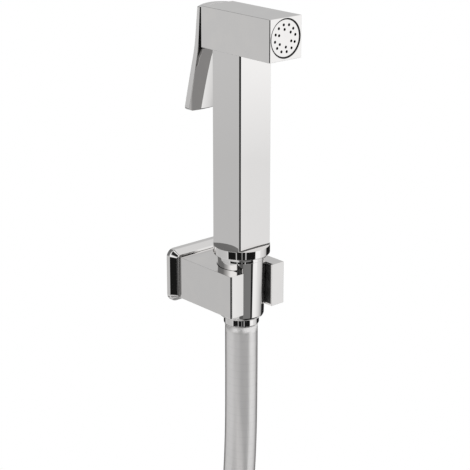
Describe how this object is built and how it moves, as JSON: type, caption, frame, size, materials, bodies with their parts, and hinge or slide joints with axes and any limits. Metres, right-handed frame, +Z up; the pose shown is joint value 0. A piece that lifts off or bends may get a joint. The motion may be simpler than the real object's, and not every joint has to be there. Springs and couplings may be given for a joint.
{
  "type": "handheld bidet shower",
  "caption": "Square chrome bidet spray handset with a trigger lever behind its head, resting in a forked wall bracket, with a smooth silver hose that ends in a swivel nut.",
  "frame": {"origin": "centre of the bracket's back face, on the wall plane", "axes": "+Z up, +Y into the wall, +X to the right as seen from the room; the spray leaves towards -Y"},
  "size_m": [0.2028, 0.0823, 0.409],
  "materials": {
    "chrome": "polished",
    "brass": "machined",
    "stainless_steel": "satin",
    "zinc_plated_steel": "dull",
    "black_rubber": "matt",
    "black_plastic": "satin",
    "silver_hose_skin": "satin silver"
  },
  "bodies": {
    "set": {"wall_base": "zinc_plated_steel", "wall_plate": "chrome", "cradle": "chrome", "cradle_liner": "black_plastic", "cradle_screw_left": "zinc_plated_steel", "cradle_screw_right": "zinc_plated_steel", "grub_screw": "stainless_steel", "handset_body": "chrome", "spray_plate": "chrome", "spray_seal": "black_rubber", "valve_plug": "brass", "plug_o_ring": "black_rubber", "valve_spring": "stainless_steel", "stem_gland": "brass", "gland_o_ring": "black_rubber", "lever_pin": "stainless_steel", "hose_nut": "chrome", "hose_washer": "black_rubber", "hose_insert": "brass", "hose_ferrule": "chrome", "hose": "silver_hose_skin", "hose_coil": "silver_hose_skin", "hose_tie": "black_plastic", "inlet_ferrule": "chrome", "inlet_insert": "brass", "inlet_washer": "black_rubber"},
    "lever": {"lever": "chrome"},
    "push_rod": {"valve_stem": "brass", "valve_disc": "black_rubber"},
    "inlet_nut": {"inlet_nut": "chrome"}
  },
  "joints": [
    {"name": "lever_pivot", "type": "hinge", "parent": "set", "child": "lever", "pos_m": [0, -0.0184, 0.138], "axis": [-1, 0, 0], "range_deg": [0, 6], "stiffness_Nm_per_rad": 1.2, "springref_deg": -8.59},
    {"name": "valve_slide", "type": "slide", "parent": "set", "child": "push_rod", "axis": [0, -1, 0], "range_m": [0, 0.0011], "deforming": ["valve_spring"]},
    {"name": "inlet_nut_swivel", "type": "hinge", "parent": "set", "child": "inlet_nut", "pos_m": [-0.003, -0.0684, -0.2543], "axis": [0, 0, 1], "continuous": true}
  ],
  "couplings": [
    {"joint": "valve_slide", "follows": "lever_pivot", "m_per_rad": 0.0098}
  ]
}
